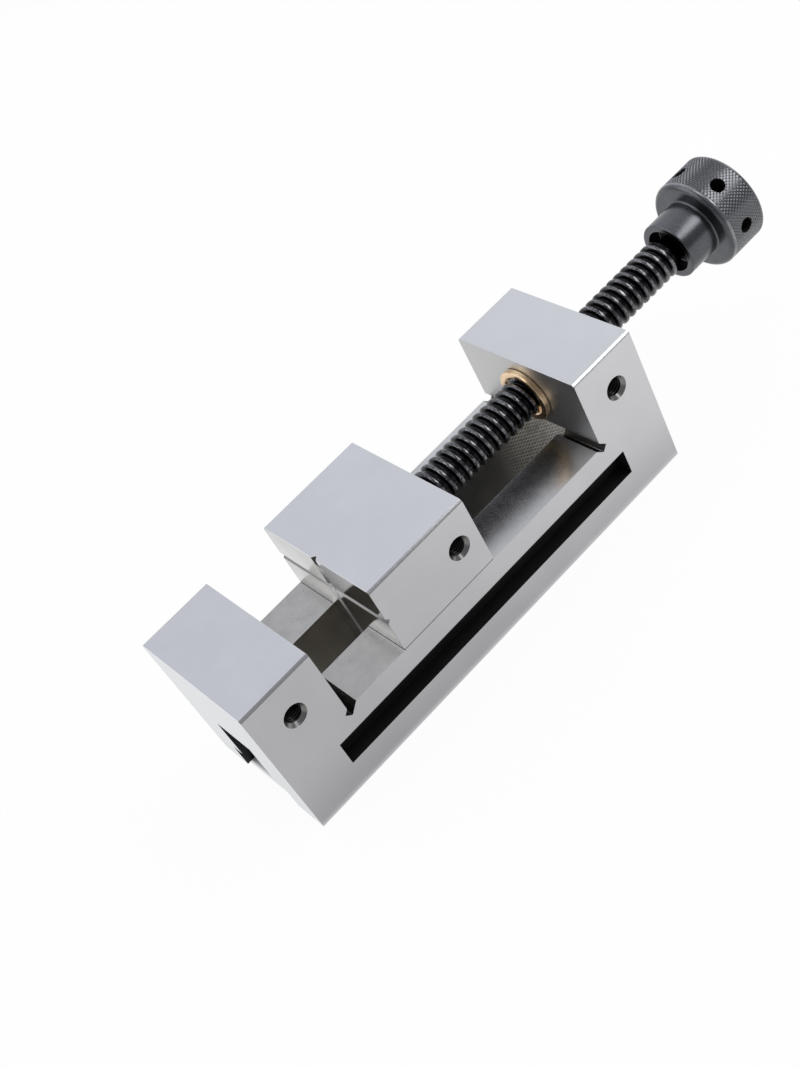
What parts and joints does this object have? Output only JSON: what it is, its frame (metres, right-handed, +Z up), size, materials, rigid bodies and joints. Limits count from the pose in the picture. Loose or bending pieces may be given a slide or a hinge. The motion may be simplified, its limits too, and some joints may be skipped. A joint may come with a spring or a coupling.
{
  "type": "precision screw vise",
  "caption": "Ground toolmaker's vise with a fixed jaw, a movable jaw with V grooves, side clamp slots, a lead screw in a flanged bronze nut, and a round knob with bar holes.",
  "frame": {"origin": "bottom centre of the whole vise as shown, with the jaws 28.9 mm apart: on the base plane, midway between the front end and the back of the knob", "axes": "+X from the fixed jaw towards the knob, along the lead screw; +Y across the jaws; +Z up from the base"},
  "size_m": [0.2804, 0.063, 0.0685],
  "materials": {
    "ground_steel": "hardened and finely ground, near-mirror on the jaw faces",
    "plate_steel": "ground",
    "black_screw": "black oxide, satin",
    "black_knob": "black oxide, satin, with a fine diamond knurl on the rim",
    "bronze": "turned bronze",
    "black_fastener": "black oxide",
    "ball_steel": "polished ball",
    "pin_steel": "ground pin"
  },
  "bodies": {
    "vise": {"vise_body": "ground_steel", "screw_nut": "bronze", "nut_lock_screw_left": "black_fastener", "nut_lock_screw_right": "black_fastener"},
    "jaw": {"movable_jaw": "ground_steel", "hold_down_plate": "plate_steel", "hold_down_screw_1": "black_fastener", "hold_down_screw_2": "black_fastener", "hold_down_screw_3": "black_fastener", "hold_down_screw_4": "black_fastener", "lock_washer_1": "black_fastener", "lock_washer_2": "black_fastener", "lock_washer_3": "black_fastener", "lock_washer_4": "black_fastener", "retaining_screw_left": "black_fastener", "retaining_screw_right": "black_fastener", "thrust_ball": "ball_steel"},
    "screw": {"lead_screw": "black_screw", "knob": "black_knob", "knob_pin": "pin_steel"}
  },
  "joints": [
    {"name": "jaw_slide", "type": "slide", "parent": "vise", "child": "jaw", "axis": [1, 0, 0], "range_m": [-0.0286, 0.0556]},
    {"name": "screw_turn", "type": "hinge", "parent": "jaw", "child": "screw", "pos_m": [-0.03205, 0, 0.049], "axis": [1, 0, 0], "range_deg": [-2580, 5010]}
  ],
  "couplings": [
    {"joint": "screw_turn", "follows": "jaw_slide", "rad_per_m": 1570.8}
  ]
}
